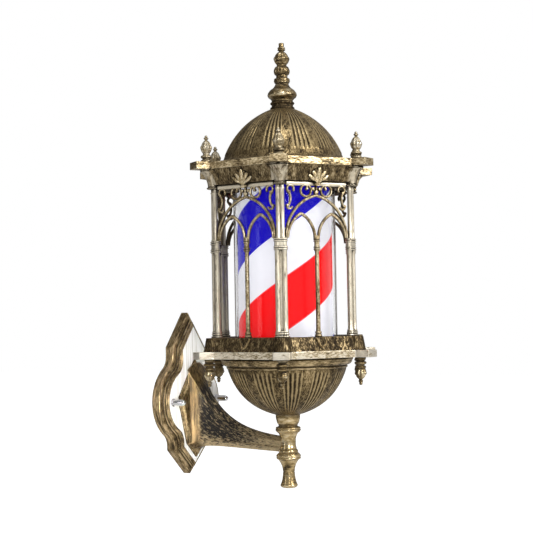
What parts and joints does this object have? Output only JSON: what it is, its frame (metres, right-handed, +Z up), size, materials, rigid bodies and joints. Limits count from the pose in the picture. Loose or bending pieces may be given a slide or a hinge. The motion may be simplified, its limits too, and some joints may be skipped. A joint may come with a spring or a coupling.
{
  "type": "barber pole",
  "caption": "Wall-hung lantern barber pole: striped drum turning in a clear tube inside a six-sided cast frame with dome, finials and bracket arm.",
  "frame": {"origin": "middle of the steel crossbar's back, on the wall", "axes": "+Z up, +Y into the wall, the lantern stands out towards -Y"},
  "size_m": [0.2798, 0.361, 0.6975],
  "materials": {
    "antique_casting": "die-cast aluminium, black with antique brass rubbed over it",
    "zinc_steel": "zinc plated",
    "bright_chrome": "bright plated",
    "clear_wall": "clear, polished",
    "soft_ring": "matt black",
    "motor_case": "zinc plated can",
    "nylon": "natural nylon",
    "drum_plastic": "white",
    "stripes": "white translucent drum with red and blue spiral stripes",
    "holder_plastic": "white",
    "opal_lamp": "opal white"
  },
  "bodies": {
    "frame": {"wall_plate": "antique_casting", "crossbar": "zinc_steel", "plate_studs": "bright_chrome", "cap_nuts": "bright_chrome", "arm": "antique_casting", "arm_screws": "zinc_steel", "bottom_finial": "antique_casting", "stem_collar": "antique_casting", "centre_tube": "zinc_steel", "bowl": "antique_casting", "bowl_ring": "antique_casting", "base_plate": "antique_casting", "base_nut": "zinc_steel", "base_skirt": "antique_casting", "column_screws": "zinc_steel", "cornice": "antique_casting", "top_plate": "antique_casting", "dome": "antique_casting", "dome_rod": "zinc_steel", "neck_ring": "antique_casting", "top_finial": "antique_casting", "clear_tube": "clear_wall", "lower_gasket": "soft_ring", "upper_gasket": "soft_ring", "motor": "motor_case", "motor_screws": "zinc_steel", "top_bush": "nylon", "lamp_holder": "holder_plastic", "lamp": "opal_lamp", "column_1": "antique_casting", "column_2": "antique_casting", "column_3": "antique_casting", "column_4": "antique_casting", "column_5": "antique_casting", "column_6": "antique_casting", "tracery_panel_1": "antique_casting", "tracery_panel_2": "antique_casting", "tracery_panel_3": "antique_casting", "tracery_panel_4": "antique_casting", "tracery_panel_5": "antique_casting", "tracery_panel_6": "antique_casting", "corner_finial_1": "antique_casting", "corner_finial_2": "antique_casting", "corner_finial_3": "antique_casting", "corner_finial_4": "antique_casting", "corner_finial_5": "antique_casting", "corner_finial_6": "antique_casting", "hanging_finial_1": "antique_casting", "hanging_finial_2": "antique_casting", "hanging_finial_3": "antique_casting", "hanging_finial_4": "antique_casting", "hanging_finial_5": "antique_casting", "hanging_finial_6": "antique_casting"},
    "drum": {"striped_drum": "stripes", "drum_floor": "drum_plastic", "drum_cap": "drum_plastic", "drum_gear": "nylon"},
    "pinion": {"motor_shaft": "zinc_steel", "drive_pinion": "nylon"}
  },
  "joints": [
    {"name": "drum_spin", "type": "hinge", "parent": "frame", "child": "drum", "pos_m": [0, -0.207, 0.2], "axis": [0, 0, 1], "continuous": true},
    {"name": "pinion_spin", "type": "hinge", "parent": "frame", "child": "pinion", "pos_m": [0.048, -0.207, 0.0825], "axis": [0, 0, 1], "continuous": true}
  ],
  "couplings": [
    {"joint": "pinion_spin", "follows": "drum_spin", "ratio": -3}
  ]
}
